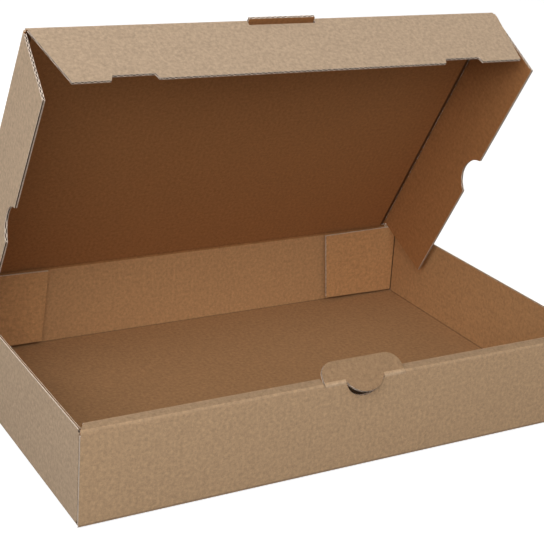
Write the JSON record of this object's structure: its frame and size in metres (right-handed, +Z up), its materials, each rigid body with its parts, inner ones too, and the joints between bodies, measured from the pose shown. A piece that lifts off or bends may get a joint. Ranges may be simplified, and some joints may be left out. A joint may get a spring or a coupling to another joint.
{
  "type": "flat mailer box",
  "caption": "Flat folding mailer box of brown corrugated board: shallow tray with a rolled front wall, hinged lid with tuck-in flaps, and a lock tab at the front.",
  "frame": {"origin": "centre of the underside of the tray", "axes": "+X to the right along the front wall, +Y from the front wall to the hinge of the lid, +Z up"},
  "size_m": [0.32, 0.2194, 0.2249],
  "materials": {
    "board": "matt unbleached kraft paper over fluting"
  },
  "bodies": {
    "tray": {"tray": "board"},
    "lid": {"lid": "board"},
    "lid_front_flap": {"lid_front_flap": "board"},
    "lid_left_flap": {"lid_left_flap": "board"},
    "lid_right_flap": {"lid_right_flap": "board"},
    "lock_tab": {"lock_tab": "board"}
  },
  "joints": [
    {"name": "lid_hinge", "type": "hinge", "parent": "tray", "child": "lid", "pos_m": [0, 0.10675, 0.05125], "axis": [-1, 0, 0], "range_deg": [-59.5, 120.5]},
    {"name": "front_flap_fold", "type": "hinge", "parent": "lid", "child": "lid_front_flap", "pos_m": [0, 0.00621, 0.22193], "axis": [-1, 0, 0], "range_deg": [-60, 90]},
    {"name": "left_flap_fold", "type": "hinge", "parent": "lid", "child": "lid_left_flap", "pos_m": [-0.1495, 0.10675, 0.05125], "axis": [0, -0.5075, 0.8616], "range_deg": [-5, 64]},
    {"name": "right_flap_fold", "type": "hinge", "parent": "lid", "child": "lid_right_flap", "pos_m": [0.1495, 0.10675, 0.05125], "axis": [0, 0.5075, -0.8616], "range_deg": [-5, 64]},
    {"name": "lock_tab_fold", "type": "hinge", "parent": "tray", "child": "lock_tab", "pos_m": [0, -0.10675, 0.0513], "axis": [-1, 0, 0], "range_deg": [-65, 25]}
  ]
}
